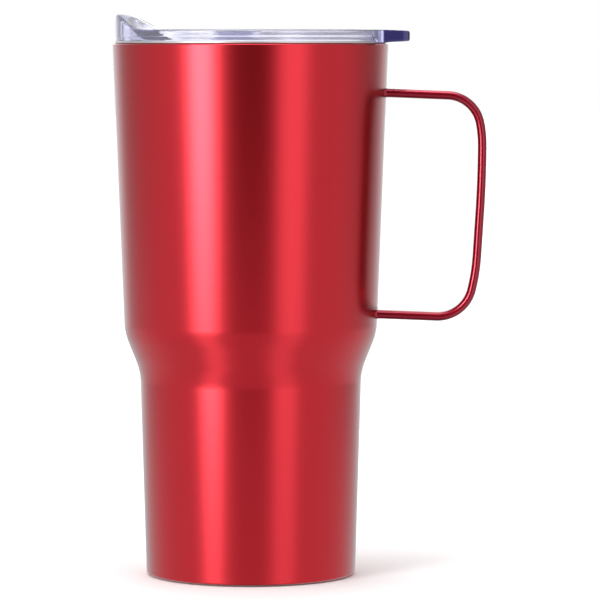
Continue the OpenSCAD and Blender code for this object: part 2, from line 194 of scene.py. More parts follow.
class Look:
    """A Principled material and short ways to add procedural detail to it."""

    def __init__(self, name, **values):
        self.mat = bpy.data.materials.new(name)
        self.mat.use_nodes = True
        self.tree = self.mat.node_tree
        self.bsdf = self.tree.nodes["Principled BSDF"]
        self.coords = self.tree.nodes.new("ShaderNodeTexCoord").outputs["Object"]
        for socket, value in values.items():
            self.bsdf.inputs[socket.replace("_", " ")].default_value = value

    def node(self, kind, **settings):
        n = self.tree.nodes.new(kind)
        for k, v in settings.items():
            setattr(n, k, v)
        return n

    def link(self, a, b):
        self.tree.links.new(a, b)

    def noise(self, scale, detail=3, roughness=0.55):
        """Noise stretched by a scale for each axis, in features per metre."""
        mapping = self.node("ShaderNodeMapping")
        mapping.inputs["Scale"].default_value = scale
        self.link(self.coords, mapping.inputs["Vector"])
        n = self.node("ShaderNodeTexNoise")
        n.inputs["Scale"].default_value = 1
        n.inputs["Detail"].default_value = detail
        n.inputs["Roughness"].default_value = roughness
        self.link(mapping.outputs["Vector"], n.inputs["Vector"])
        return n.outputs["Fac"]

    def span(self, source, low, high, start=0.3, end=0.7):
        """The source's range from start to end, spread over low to high."""
        n = self.node("ShaderNodeMapRange")
        for key, v in (("From Min", start), ("From Max", end), ("To Min", low), ("To Max", high)):
            n.inputs[key].default_value = v
        self.link(source, n.inputs["Value"])
        return n.outputs["Result"]

    def shade(self, source, dark, light, start=0.3, end=0.7):
        """The base colour, from dark to light along the source."""
        n = self.node("ShaderNodeValToRGB")
        for stop, at, colour in zip(n.color_ramp.elements, (start, end), (dark, light)):
            stop.position = at
            stop.color = (*colour, 1)
        self.link(source, n.inputs["Fac"])
        self.link(n.outputs["Color"], self.bsdf.inputs["Base Color"])

    def rough(self, source, low, high, start=0.3, end=0.7):
        """The roughness, from low to high along the source."""
        self.link(self.span(source, low, high, start, end), self.bsdf.inputs["Roughness"])

    def bump(self, source, depth, strength=1.0):
        """Relief of the given depth in metres."""
        n = self.node("ShaderNodeBump")
        n.inputs["Distance"].default_value = depth
        n.inputs["Strength"].default_value = strength
        self.link(source, n.inputs["Height"])
        self.link(n.outputs["Normal"], self.bsdf.inputs["Normal"])

    def absorb(self, colour, density):
        """Tint that deepens with the length of material looked through."""
        n = self.node("ShaderNodeVolumeAbsorption")
        n.inputs["Color"].default_value = (*colour, 1)
        n.inputs["Density"].default_value = density
        self.link(n.outputs["Volume"], self.tree.nodes["Material Output"].inputs["Volume"])


def red_coat(name, grain, dark, light, low=0.252, high=0.260, gloss=0.27):
    """Satin metallic lacquer over brushed steel, whose grain runs where its scale is small."""
    look = Look(name, Metallic=1.0, Coat_Weight=0.88, Coat_Roughness=gloss, Coat_IOR=1.5)
    look.bsdf.inputs["Specular Tint"].default_value = (0.6, 0.8, 0.8, 1)
    lines = look.noise(grain, detail=4, roughness=0.6)
    look.shade(lines, dark, light)
    look.rough(lines, low, high)
    look.bump(lines, 0.00000015)
    return look.mat


def brushed_steel(name, grain, dark, light, low, high):
    """Bare steel with a brushed grain in its colour, roughness and relief."""
    look = Look(name, Metallic=1.0)
    lines = look.noise(grain, detail=5, roughness=0.65)
    look.shade(lines, (dark,) * 3, (light, light, light * 1.01))
    look.rough(lines, low, high)
    look.bump(lines, 0.000006)
    return look.mat


def clear_plastic(name, tint, density, frost, milk, colour):
    """Clear plastic with a tint in its depth, and a little milkiness that scatters light."""
    look = Look(name, Transmission_Weight=1 - milk, IOR=1.49)
    look.bsdf.inputs["Base Color"].default_value = (*colour, 1)
    flow = look.noise((60, 60, 60), detail=2)
    look.rough(flow, frost, frost + 0.03)
    look.bump(flow, 0.00002, 0.4)
    look.absorb(tint, density)
    return look


def moulded(name, dark, light, low, high, grain=900, depth=0.00003, **values):
    """Rubber, silicone, film or paste: a fine moulded grain over a slow change of shade."""
    look = Look(name, **values)
    look.shade(look.noise((70, 70, 70), detail=3), dark, light)
    fine = look.noise((grain,) * 3, detail=3, roughness=0.6)
    look.rough(fine, low, high)
    look.bump(fine, depth)
    return look.mat


BODY_RED = red_coat("red_coat", (110, 110, 3000), (0.572, 0.0050, 0.017), (0.594, 0.0070, 0.020))
# The strap's copy of the red coat: the same paint, with its base colour painted darker as painted shade for
# the dark reflections the strap shows
STRAP_RED_SHADED = red_coat("red_coat_strap_shaded", (110, 3000, 110), (0.31, 0.004, 0.022), (0.33, 0.006, 0.027),
                     0.38, 0.42, 0.14)
STEEL_IN = brushed_steel("liner_steel", (16, 16, 3000), 0.60, 0.76, 0.34, 0.46)
STEEL_BASE = brushed_steel("bare_steel", (500, 500, 500), 0.50, 0.68, 0.30, 0.45)
LID_TINT = (0.58, 0.58, 0.88)
LID_FACE = (0.93, 0.93, 1.0)
# Painted shade: a dark violet base colour on the pull tab's upright faces, standing for how dark they look
# through the plastic
TAB_SIDE_SHADE = (0.06, 0.053, 0.14)
TAB_SIDE_SHADE_FROM, TAB_SIDE_SHADE_FULL = 0.0424, 0.0429  # where the painted shade on the tab's upright faces fades in along X, in metres


def lid_plastic():
    """The lid's clear plastic, with painted shade on the pull tab's upright faces: a dark base colour for
    how dark they look with light passing through the plastic.
    """
    look = clear_plastic("clear_plastic", LID_TINT, 36, 0.10, 0.09, LID_FACE)
    split = look.node("ShaderNodeSeparateXYZ")
    look.link(look.coords, split.inputs[0])
    on_tab = look.span(split.outputs["X"], 0.0, 1.0, TAB_SIDE_SHADE_FROM, TAB_SIDE_SHADE_FULL)
    facing = look.node("ShaderNodeSeparateXYZ")
    look.link(look.node("ShaderNodeTexCoord").outputs["Normal"], facing.inputs[0])
    upright = look.node("ShaderNodeMath", operation="ABSOLUTE")
    look.link(facing.outputs["Z"], upright.inputs[0])
    side = look.span(upright.outputs[0], 1.0, 0.0, 0.5, 0.85)
    edge = look.node("ShaderNodeMath", operation="MULTIPLY")
    look.link(on_tab, edge.inputs[0])
    look.link(side, edge.inputs[1])
    # painted shade: the base colour goes from the lid's face colour to the dark violet on the tab's upright
    # faces
    look.shade(edge.outputs[0], LID_FACE, TAB_SIDE_SHADE, 0.0, 1.0)
    return look.mat


CLEAR = lid_plastic()
GATE_CLEAR = clear_plastic("gate_plastic", LID_TINT, 32, 0.055, 0.07, LID_FACE).mat
SLIDE = clear_plastic("slide_plastic", (0.45, 0.45, 0.80), 50, 0.15, 0.45, (0.52, 0.52, 0.80)).mat
SILICONE = moulded("silicone", (0.74, 0.75, 0.84), (0.84, 0.85, 0.92), 0.42, 0.55,
                   Subsurface_Weight=0.25, Subsurface_Scale=0.002, IOR=1.41)
PAD = moulded("pad", (0.018, 0.018, 0.020), (0.035, 0.035, 0.038), 0.62, 0.82, grain=1400)
TAPE = moulded("tape", (0.62, 0.58, 0.46), (0.75, 0.72, 0.62), 0.5, 0.7)
COPPER = moulded("copper", (0.62, 0.28, 0.16), (0.86, 0.48, 0.33), 0.14, 0.32, grain=300, Metallic=1.0)
SOLDER = moulded("solder", (0.38, 0.38, 0.37), (0.60, 0.60, 0.58), 0.35, 0.55, Metallic=1.0)
GETTER = moulded("getter_metal", (0.10, 0.10, 0.11), (0.25, 0.25, 0.27), 0.6, 0.8, grain=2500, Metallic=0.8)


# ---------------------------------------------------------------------------- the body's outline

def shell_outline():
    """The shell's outside from its foot up to the lip's seam."""
    foot = (FOOT_R, FOOT)
    return (bend((0, FOOT), foot, STEP_LOW, FOOT_ROUND, 8)
            + bend(foot, STEP_LOW, STEP_HIGH, STEP_LOW_ROUND, 20)
            + bend(STEP_LOW, STEP_HIGH, SHOULDER, STEP_HIGH_ROUND, 20)
            + bend(STEP_HIGH, SHOULDER, (TOP_R, SHELL_TOP), SHOULDER_ROUND, 8)
            + [(TOP_R, SHELL_TOP)])


OUTLINE = shell_outline()


def shell_r(z):
    """Radius of the shell's outside at a height."""
    return float(np.interp(z, [p[1] for p in OUTLINE], [p[0] for p in OUTLINE]))


def wall(z0, z1, inset):
    """The outline from z0 up to z1, moved inwards."""
    levels = [z0] + [p[1] for p in OUTLINE if z0 < p[1] < z1] + [z1]
    return [(shell_r(z) - inset, z) for z in levels]


def make_body():
    """The red shell, the steel liner with its rolled lip, and the liner's floor."""
    top = (TOP_R, SHELL_TOP)
    inner_top = (TOP_R - SHELL_WALL, SHELL_TOP)
    inside = wall(FOOT, SHELL_TOP - 1, SHELL_WALL)[::-1]
    lathe("shell", OUTLINE[:-1] + [top, inner_top] + inside, "mug", BODY_RED,
          ["outer_shell"], "red_coat")

    # The liner, from its seam up to the rounded lip and back down inside
    out, lip = GAP + SHELL_WALL, (RIM - SHELL_TOP) / 2
    mouth_z = SHELL_TOP - MOUTH_DEPTH
    outside = wall(FLOOR_SEAM, mouth_z - MOUTH_EASE, out)
    inner = wall(FLOOR_SEAM, mouth_z - MOUTH_EASE, out + LINER_WALL)[::-1]
    lip_outer = [(TOP_R - lip + lip * math.sin(t), SHELL_TOP + lip - lip * math.cos(t))
                 for t in [math.pi * i / 12 for i in range(13)]]
    lip_inner = bend((TOP_R, RIM), (MOUTH_R, RIM), (MOUTH_R, SHELL_TOP - 1), lip, 8)
    collar = [(MOUTH_R + LINER_WALL, mouth_z), (MOUTH_R + LINER_WALL, SHELL_TOP)]
    lathe("liner", outside + collar + lip_outer + lip_inner + [(MOUTH_R, mouth_z)] + inner,
          "mug", STEEL_IN, ["inner_liner"], "liner_steel")

    # The floor: a shallow cup with a rounded edge
    r = shell_r(FLOOR_SEAM) - out
    low = FLOOR_Z - LINER_WALL
    r_in = r - LINER_WALL
    cup = ([(0, low)] + bend((0, low), (r, low), (r, FLOOR_SEAM), FLOOR_ROUND + LINER_WALL, 12)
           + [(r, FLOOR_SEAM), (r_in, FLOOR_SEAM)]
           + bend((r_in, FLOOR_SEAM), (r_in, FLOOR_Z), (0, FLOOR_Z), FLOOR_ROUND, 12)
           + [(0, FLOOR_Z)])
    lathe("liner_bottom", cup, "mug", STEEL_IN, ["liner_floor"], "liner_steel")


def make_base():
    """The pad in the foot's recess, with the moulded rings that keep it from slipping."""
    pad_r, pad_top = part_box("base_pad")[1][0] / MM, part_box("base_pad")[1][2] / MM
    first_ring, ring_pitch, plain_edge = 16.0, 3.2, 3.0
    ring_w, ring_slope, ring_depth = 1.2, 0.25, 0.18
    edge_round = 0.3
    under = [(0, 0)]
    r = first_ring
    while r < pad_r - plain_edge:
        under += [(r, 0), (r + ring_slope, ring_depth), (r + ring_w - ring_slope, ring_depth),
                  (r + ring_w, 0)]
        r += ring_pitch
    edge = [(pad_r - edge_round * (1 - math.sin(t)), edge_round * (1 - math.cos(t)))
            for t in [math.pi / 2 * i / 5 for i in range(6)]]
    lathe("foot_pad", under + edge + [(pad_r, pad_top), (0, pad_top)], "mug", PAD,
          ["base_pad"], "pad", around=192)


# ---------------------------------------------------------------------------- the handle

STRAP_W = 16.9
STRAP_T = 2.85
STRAP_EDGE = 0.56 * STRAP_T  # how far in from the side the round edge begins
STRAP_START = (40.0, 156.56)
STRAP_DROOP = 2.3
# Straight pieces and bends, as (length, 0) or (radius, angle turned down)
STRAP_ROUTE = [(23.67, 0), (11, 76.8), (38.5, 11.1), (356, 3.4), (14.2, 0), (64, 10.1), (11.3, 78.5),
               (26, 0)]


def strap_line(spacing=0.8):
    """Points along the strap's middle as (x, z, heading), evenly spaced on each piece."""
    x, z, heading = *STRAP_START, -STRAP_DROOP
    line = [(x, z, heading)]
    for size, turn in STRAP_ROUTE:
        length = size * math.radians(turn) if turn else size
        n = max(2, round(length / spacing), round(turn / 3))
        for _ in range(n):
            part = turn / n
            chord = length / n
            if turn:
                chord *= math.sin(math.radians(part / 2)) / math.radians(part / 2)
            x += chord * math.cos(math.radians(heading - part / 2))
            z += chord * math.sin(math.radians(heading - part / 2))
            heading -= part
            line.append((x, z, heading))
    return line


def strap_section(n=10):
    """The strap's section as (across, along the thickness): a flat bar with fully round edges."""
    edge, t = STRAP_EDGE, STRAP_T / 2
    flat = STRAP_W / 2 - edge
    rim = [math.pi * i / n for i in range(n + 1)]
    across = [flat * (1 - i / 3) for i in range(1, 6)]
    right = [(flat + edge * math.sin(a), t * math.cos(a)) for a in rim]
    inner = [(y, -t) for y in across]
    return right + inner + [(-y, -z) for y, z in right + inner]


def make_handle():
    """The strap, with a small weld fillet where each end meets the shell."""
    weld_reach, weld_size, buried = 1.0, 0.18, 0.25
    clear = weld_reach + 0.6
    section = strap_section()
    line = strap_line()
    # both ends of the line are inside the shell: keep what stands clear of the welds
    ends = [next(i for i, p in enumerate(order) if p[0] > shell_r(p[1]) + clear)
            for order in (line, line[::-1])]
    kept = line[ends[0]:len(line) - ends[1]]
    rows = []

    def row(x, z, heading, flare=0.0, hug=False, off=0.0):
        """A section at a point, widened by flare; one that hugs is laid on the shell's surface."""
        a = math.radians(heading)
        ring = []
        for y, t in section:
            grow = 1 + flare / STRAP_T * 2
            yy = y + math.copysign(flare, y) * min(1, abs(y) / (STRAP_W / 2 - STRAP_T))
            px = x - math.sin(a) * t * grow
            pz = z + math.cos(a) * t * grow
            if hug:
                px = math.sqrt(max(0.0, shell_r(pz) ** 2 - yy ** 2)) + off
            ring.append((px, yy, pz))
        rows.append(ring)

    def end_rows(point, outwards):
        """Rows that leave the shell's surface: (distance from it, flare)."""
        steps = [(-buried, 1.0), (0.0, 1.0), (0.12, 0.72), (0.3, 0.42), (0.6, 0.16), (weld_reach, 0.0)]
        x, z, heading = point
        for off, share in steps if outwards else steps[::-1]:
            surface = shell_r(z)
            slope = math.tan(math.radians(heading))
            zz = z + (surface + off - x) * slope
            row(x, zz, heading, flare=weld_size * share, hug=True, off=off)

    end_rows(kept[0], True)
    for x, z, heading in kept:
        row(x, z, heading)
    end_rows(kept[-1], False)
    n = len(section)
    verts = [p for ring in rows for p in ring]
    faces = [[i * n + k, i * n + (k + 1) % n, (i + 1) * n + (k + 1) % n, (i + 1) * n + k]
             for i in range(len(rows) - 1) for k in range(n)]
    faces += [list(range(n)), list(range(len(verts) - n, len(verts)))[::-1]]
    piece("strap", verts, faces, "mug", STRAP_RED_SHADED, ["handle"], "red_coat", sharp=60)


# ---------------------------------------------------------------------------- the lid

FLANGE_R = 44.0
FLANGE_H = 3.6
FLANGE_TOP = RIM + FLANGE_H
SPOUT_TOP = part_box("lid_body")[1][2] / MM
TAB_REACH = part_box("lid_body")[1][0] / MM
PLUG_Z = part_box("lid_body")[0][2] / MM
PLUG_R = 40.5
PLUG_IN = 37.9
DECK_TOP = FLANGE_TOP - 5.3
DECK_T = 1.8
DISH_R = 39.5
GROOVE_R = 39.3
GROOVE = (PLUG_Z + 2.6, PLUG_Z + 6.8)
EDGE = 0.8
SPOUT_FLAT = 38.6
RAMP = 0.56
BELL_FLAT, BELL_HALF = 9.5, 30.0
TAB_HALF, TAB_CORNER, TAB_FILLET = 18.4, 2.5, 4.5
TAB_FALL, TAB_UNDER, TAB_RISE = 0.2, 0.7, 0.4  # its top falls and its underside rises to the tip
TAB_BLEND = 1.2  # how far out from the flange the tab's underside takes over
FLANGE_STEP_Z, FLANGE_STEP = RIM + 1.3, 0.28
DISH_FILLET, DISH_DRAFT, BRIM_W, BRIM_ROUND = 1.0, 0.6, 1.2, 0.45
POUR_R, POUR_X, POUR_HALF, RAMP_WALL = 36.0, 26.0, 12.0, 1.9
SLOT_X, SLOT_L, SLOT_W = 33.6, 5.0, 17.0
VENT_X, VENT_R = 31.0, 0.8


def smooth_min(a, b, k):
    """The lower of two heights, blended over k where they meet."""
    h = np.clip(0.5 + 0.5 * (b - a) / k, 0, 1)
    return b + (a - b) * h - k * h * (1 - h)


def smooth_max(a, b, k):
    return -smooth_min(-a, -b, k)


def spout_height(x, y):
    """Height of the mouthpiece and its ramp over the plan."""
    ramp = SPOUT_TOP - RAMP * (x + SPOUT_FLAT)
    ramp = smooth_min(ramp, np.full_like(x, SPOUT_TOP), 1.2)
    t = np.clip((np.abs(y) - BELL_FLAT) / (BELL_HALF - BELL_FLAT), 0, 1)
    bell = FLANGE_TOP + (SPOUT_TOP - FLANGE_TOP) * (1 + np.cos(np.pi * t ** 0.8)) / 2
    return smooth_min(ramp, bell, 0.8)


def tab_radius(phi):
    """Outer radius of flange and pull tab at an angle from +X: the tab runs in through fillets."""
    tip = TAB_REACH - TAB_CORNER
    side_y = TAB_HALF - TAB_CORNER
    pts = [(TAB_REACH, y) for y in np.linspace(0, side_y, 8)]
    pts += [(tip + TAB_CORNER * math.cos(t), side_y + TAB_CORNER * math.sin(t))
            for t in np.linspace(0, math.pi / 2, 16)]
    cy = TAB_HALF + TAB_FILLET
    cx = min(tip - 0.05, math.sqrt((FLANGE_R + TAB_FILLET) ** 2 - cy ** 2))
    fall = math.atan2(cy, cx)
    for t in np.linspace(-math.pi / 2, -(math.pi - fall), 24):
        pts.append((cx + TAB_FILLET * math.cos(t), cy + TAB_FILLET * math.sin(t)))
    angle = [math.atan2(y, x) for x, y in pts]
    radius = [max(FLANGE_R, math.hypot(x, y)) for x, y in pts]
    return np.interp(np.abs(phi), angle, radius, right=FLANGE_R)


def lid_angles():
    """Angles round the lid, close together where the tab's sides and the mouthpiece are."""
    out, a = [], -180.0
    while a < 180 - 1e-6:
        out.append(a)
        b = abs(a)
        a += 0.25 if 13 <= b < 30 else 0.5 if b >= 128 else 1.0
    return np.radians(np.array(out))


def lid_rows(phi):
    """The lid's surface as loops round the axis, from the deck's middle over the flange and
    down the plug to the deck's underside: a radius and a height for each angle."""
    rho = tab_radius(phi)
    out = (rho - FLANGE_R) / (TAB_REACH - FLANGE_R)
    on_tab = np.clip((rho - FLANGE_R) / TAB_BLEND, 0, 1)
    on_tab = on_tab * on_tab * (3 - 2 * on_tab)
    one = np.ones_like(phi)
    c, s = np.cos(phi), np.sin(phi)
    rows = []

    def top(r, z):
        """A row of the dish, its wall or the ring, lifted onto the mouthpiece and its ramp."""
        r = r * one
        rows.append((r, smooth_max(z * one, spout_height(r * c, r * s), 0.7)))

    # the deck, its fillet, the dish's wall and the rounded brim
    for r in [0.001] + list(np.arange(2, 18, 4)) + list(np.arange(18, DISH_R - 1.2, 0.8)):
        top(r, DECK_TOP)
    for t in np.linspace(0, math.pi / 2 - 0.12, 6):
        top(DISH_R - DISH_FILLET * (1 - math.sin(t)), DECK_TOP + DISH_FILLET * (1 - math.cos(t)))
    for z in np.linspace(DECK_TOP + 1.4, FLANGE_TOP - 0.5, 6):
        top(DISH_R + DISH_DRAFT * (z - DECK_TOP) / (FLANGE_TOP - DECK_TOP), z)
    for t in np.linspace(0.2, math.pi / 2, 4):
        top(DISH_R + 0.56 + BRIM_ROUND * (1 - math.cos(t)), FLANGE_TOP - BRIM_ROUND * (1 - math.sin(t)))

    # the flange's top, which rises onto the mouthpiece and falls a little towards the tab's tip
    inner = DISH_R + BRIM_W
    rim_r = FLANGE_R - 1
    lift = np.maximum(0, spout_height(rim_r * c, rim_r * s) - FLANGE_TOP)
    edge = EDGE + 0.12 * lift  # the edge is softer round the mouthpiece
    fall = TAB_FALL * out ** 1.3
    for t in np.linspace(0, 1, 9):
        r = inner + t * (rho - EDGE - inner)
        up = np.maximum(0, spout_height(r * c, r * s) - FLANGE_TOP)
        rows.append((r, FLANGE_TOP + up - fall * t))
    edge_top = FLANGE_TOP + lift - fall
    for t in np.linspace(0, math.pi / 2, 7)[1:]:
        rows.append((rho - EDGE * (1 - math.sin(t)), edge_top - edge * (1 - math.cos(t))))

    # the outer wall, and the underside of the flange or of the tab
    step_z = FLANGE_STEP_Z
    tab_low = RIM - TAB_UNDER + TAB_RISE * out
    bottom = step_z + (tab_low - step_z) * on_tab
    small = 0.25 + 0.45 * on_tab
    for t in (0.33, 0.67, 1.0):
        rows.append((rho, edge_top - edge + t * (bottom + small - edge_top + edge)))
    for t in np.linspace(0, math.pi / 2, 5)[1:]:
        rows.append((rho - small * (1 - math.cos(t)), bottom + small * (1 - math.sin(t))))

    # the step under the flange, which the tab fills, then the plug, its groove and the underside
    step_r = FLANGE_R - FLANGE_STEP + (FLANGE_STEP + 0.05) * on_tab
    step_low = step_z + (RIM - TAB_UNDER - step_z) * on_tab
    for t in (0.35, 0.7, 1.0):
        rows.append((rho - small + t * (step_r - rho + small), bottom + t * (step_low - bottom)))
    low_z = (step_z - 0.15) * (1 - on_tab) + (RIM - 0.45) * on_tab
    rows.append((FLANGE_R - 0.3 + 0.15 * on_tab, low_z))
    rows.append((FLANGE_R - 0.3 * one, (RIM + 0.25) * one - 0.23 * on_tab))
    for r, z in [(FLANGE_R - 0.55, RIM), (PLUG_R + 0.3, RIM), (PLUG_R, RIM - 0.3),
                 (PLUG_R, GROOVE[1] + 0.1), (PLUG_R - 0.1, GROOVE[1]), (GROOVE_R, GROOVE[1]),
                 (GROOVE_R, GROOVE[0]), (PLUG_R - 0.1, GROOVE[0]), (PLUG_R, GROOVE[0] - 0.1),
                 (PLUG_R, PLUG_Z + 0.9), (PLUG_R - 0.25, PLUG_Z + 0.3), (PLUG_R - 0.8, PLUG_Z),
                 (PLUG_IN + 0.4, PLUG_Z), (PLUG_IN + 0.1, PLUG_Z + 0.12), (PLUG_IN, PLUG_Z + 0.4),
                 (PLUG_IN, DECK_TOP - DECK_T - 0.8), (PLUG_IN - 0.25, DECK_TOP - DECK_T - 0.25),
                 (PLUG_IN - 0.8, DECK_TOP - DECK_T), (20, DECK_TOP - DECK_T),
                 (0.001, DECK_TOP - DECK_T)]:
        rows.append((r * one, z * one))
    return rows


def stadium(cx, half_x, half_y, n=14):
    """A slot's plan, with round ends in Y."""
    r = half_x
    top = [(cx + r * math.cos(t), half_y - r + r * math.sin(t)) for t in np.linspace(0, math.pi, n)]
    return top + [(2 * cx - x, -y) for x, y in top]


def ring_plan(cx, r, n=24):
    """A round hole's plan."""
    return [(cx + r * math.cos(t), r * math.sin(t)) for t in np.linspace(0, 2 * math.pi, n, False)]


def box_plan(x0, x1, half_y, corner, steps=5):
    """A rectangle's plan with round corners."""
    return rounded([(x0, -half_y), (x1, -half_y), (x1, half_y), (x0, half_y)], [corner] * 4, steps)


def raw_mesh(name, verts, faces):
    """A closed mesh in millimetres, for a Boolean."""
    mesh = bpy.data.meshes.new(name)
    mesh.from_pydata([(x * MM, y * MM, z * MM) for x, y, z in verts], [], faces)
    bm = bmesh.new()
    bm.from_mesh(mesh)
    bmesh.ops.recalc_face_normals(bm, faces=bm.faces)
    bm.to_mesh(mesh)
    bm.free()
    obj = bpy.data.objects.new(name, mesh)
    bpy.context.scene.collection.objects.link(obj)
    return obj


def pour_plan():
    """The hollow below the ramp: a straight back, round front and the pour opening's width."""
    end = math.asin(POUR_HALF / POUR_R)
    front = [(-POUR_R * math.cos(t), POUR_R * math.sin(t)) for t in np.linspace(end, -end, 15)]
    return rounded(front[:1] + [(-POUR_X, POUR_HALF), (-POUR_X, -POUR_HALF)] + front[-1:],
                   [0, 2.0, 2.0, 0]) + front[-2:0:-1]


# The slide, drawn shut, with the post that runs through the deck's track
KNOB_X = -5.0
TRAVEL = 12.0
POST_L, POST_W, TRACK_GAP = 8.0, 5.0, 0.2


def make_lid():
    """The clear lid as one closed body, with its hollow, slot, track and vent cut out."""
    phi = lid_angles()
    rows = lid_rows(phi)
    n = len(phi)
    c, s = np.cos(phi), np.sin(phi)
    verts = [(r[k] * c[k], r[k] * s[k], z[k]) for r, z in rows for k in range(n)]
    faces = [[i * n + k, i * n + (k + 1) % n, (i + 1) * n + (k + 1) % n, (i + 1) * n + k]
             for i in range(len(rows) - 1) for k in range(n)]
    faces += [list(range(n))[::-1], list(range(len(verts) - n, len(verts)))]
    lid = raw_mesh("lid", verts, faces)
    deck_low = DECK_TOP - DECK_T
    hollow_top = SPOUT_TOP - RAMP_WALL - 0.3

    def under_ramp(x, _):
        return hollow_top - RAMP * (x + SPOUT_FLAT)

    track = (KNOB_X - POST_L / 2 - TRACK_GAP, KNOB_X + POST_L / 2 + TRAVEL + TRACK_GAP)
    holes = [
        prism_mesh(pour_plan(), deck_low - 1, under_ramp),
        prism_mesh(stadium(-SLOT_X, SLOT_L / 2, SLOT_W / 2), DECK_TOP + 1, SPOUT_TOP + 2),
        prism_mesh(box_plan(*track, POST_W / 2 + TRACK_GAP, 1.0), deck_low - 1, DECK_TOP + 1),
        prism_mesh(ring_plan(VENT_X, VENT_R), deck_low - 1, DECK_TOP + 1),
    ]
    for i, hole in enumerate(holes):
        tool = raw_mesh(f"hole_{i}", *hole)
        cut = lid.modifiers.new(f"cut_{i}", "BOOLEAN")
        cut.object = tool
        cut.operation = "DIFFERENCE"
        cut.solver = "EXACT"
    graph = bpy.context.evaluated_depsgraph_get()
    mesh = bpy.data.meshes.new_from_object(lid.evaluated_get(graph), depsgraph=graph)
    tools = [m.object for m in lid.modifiers]
    lid.modifiers.clear()
    lid.data = mesh
    for tool in tools:
        bpy.data.objects.remove(tool)
    lid.name = "lid_shell"
    dress(lid, "lid", CLEAR, ["lid_body"], sharp=32)
    return lid


def make_gasket():
    """The silicone ring: a band in the plug's groove with two soft fins."""
    lo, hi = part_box("lid_gasket")
    low, high, out = lo[2] / MM, hi[2] / MM, hi[0] / MM
    mid, band, root = (low + high) / 2, 40.3, GROOVE_R + 0.05
    fin_pitch = 1.5
    fins = []
    for side in (-1, 1):
        z = mid + side * fin_pitch / 2
        fins += [(band, z - 0.32), (out - 0.35, z - 0.02), (out - 0.06, z + 0.1), (out, z + 0.22),
                 (out - 0.06, z + 0.33), (out - 0.35, z + 0.34), (band, z + 0.36)]
    outline = [(root, low), (band, low)] + fins + [(band, high), (root, high)]
    lathe("gasket", outline, "lid_seal", SILICONE, ["lid_gasket"], "silicone", sharp=50)


def make_slide():
    """The thumb piece above the deck, the gate below it and the seal on the gate."""
    low = DECK_TOP + 0.1
    top = FLANGE_TOP - 0.4
    gate_lo, gate_hi = (c[2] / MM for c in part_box("slider_gate"))
    seal_lo, seal_hi = (c[2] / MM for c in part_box("gate_seal"))
    plate_t, plate_half, plate_corner = 1.4, 8.5, 3.0
    grip_half, crown, half_w = 6.5, 3.3, 7.0
    rib_pitch, rib_foot, rib_crest, rib_h = 2.2, 0.65, 0.4, 0.5
    post_corner, barb_out, barb_h, barb_gap = 0.6, 0.6, 0.9, 0.05

    # the grip's side view, swept across: a ramped hump with ribs on its crown
    rise = top - low - plate_t
    valley = rise - rib_h
    side = [(-grip_half, 0), (-crown, valley)]
    for i in (-1, 0, 1):
        x = i * rib_pitch
        side += [(x - rib_foot, valley), (x - rib_crest, rise), (x + rib_crest, rise),
                 (x + rib_foot, valley)]
    side += [(crown, valley), (grip_half, 0)]
    n = len(side)
    verts = [(KNOB_X + x, y, low + plate_t + z) for y in (-half_w, half_w) for x, z in side]
    faces = [list(range(n)), list(range(n, 2 * n))[::-1]]
    faces += [[i, (i + 1) % n, n + (i + 1) % n, n + i] for i in range(n)]
    plate_ends = KNOB_X - plate_half, KNOB_X + plate_half
    plate = prism_mesh(box_plan(*plate_ends, plate_half, plate_corner, 8), low, low + plate_t)
    ends = KNOB_X - POST_L / 2, KNOB_X + POST_L / 2
    barb_top = gate_lo - barb_gap
    post = prism_mesh(box_plan(*ends, POST_W / 2, post_corner), barb_top, low)
    barb = prism_mesh(box_plan(*ends, POST_W / 2 + barb_out, post_corner), barb_top - barb_h, barb_top)
    all_verts, all_faces = [], []
    for v, f in ((verts, faces), plate, post, barb):
        all_faces += [[i + len(all_verts) for i in face] for face in f]
        all_verts += v
    knob = piece("thumb_slide", all_verts, all_faces, "slider", SLIDE, ["slider_knob"], "slide_plastic")
    soften(knob, 0.3)

    def gate_plan(half, r, end_x):
        """A plate with a straight end and a front that is round about the lid's axis."""
        tip = math.asin(half / r)
        front = [(-r * math.cos(t), r * math.sin(t)) for t in np.linspace(tip, -tip, 31)]
        return rounded([(end_x, -half), (end_x, half)], [0, 0]) + front

    soft_prism("gate", gate_plan(13.6, 37.4, 2.0), gate_lo, gate_hi, 0.3, "slider", GATE_CLEAR,
               ["slider_gate"], "clear_plastic")
    soft_prism("gate_pad", gate_plan(13.2, 37.1, -24.6), seal_lo, seal_hi, 0.25, "slider", SILICONE,
               ["gate_seal"], "silicone")


# ---------------------------------------------------------------------------- hidden CAD nodes

def dress_hidden():
    """Procedural materials for the CAD pieces that stay as they are, inside the walls."""
    looks = {"outer_base": STEEL_BASE, "getter_clip": STEEL_BASE, "getter": GETTER, "seal_bead": SOLDER,
             "pad_tape": TAPE, "foil_wrap": COPPER, "foil_base": COPPER}
    for node, look in looks.items():
        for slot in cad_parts[node].material_slots:
            slot.material = look


# ---------------------------------------------------------------------------- stage

def make_floor():
    """A pale floor, a hair below the foot and left out of reflections."""
    look = Look("floor", Roughness=0.9)
    look.shade(look.noise((3, 3, 3)), (0.90, 0.90, 0.90), (0.93, 0.93, 0.93))
    size, level = 8.0, -0.0001
    mesh = bpy.data.meshes.new("floor")
    corners = ((-1, -1), (1, -1), (1, 1), (-1, 1))
    mesh.from_pydata([(x * size, y * size, level) for x, y in corners], [], [(0, 1, 2, 3)])
    mesh.materials.append(look.mat)
    floor = bpy.data.objects.new("floor", mesh)
    bpy.context.scene.collection.objects.link(floor)
    floor.visible_glossy = False


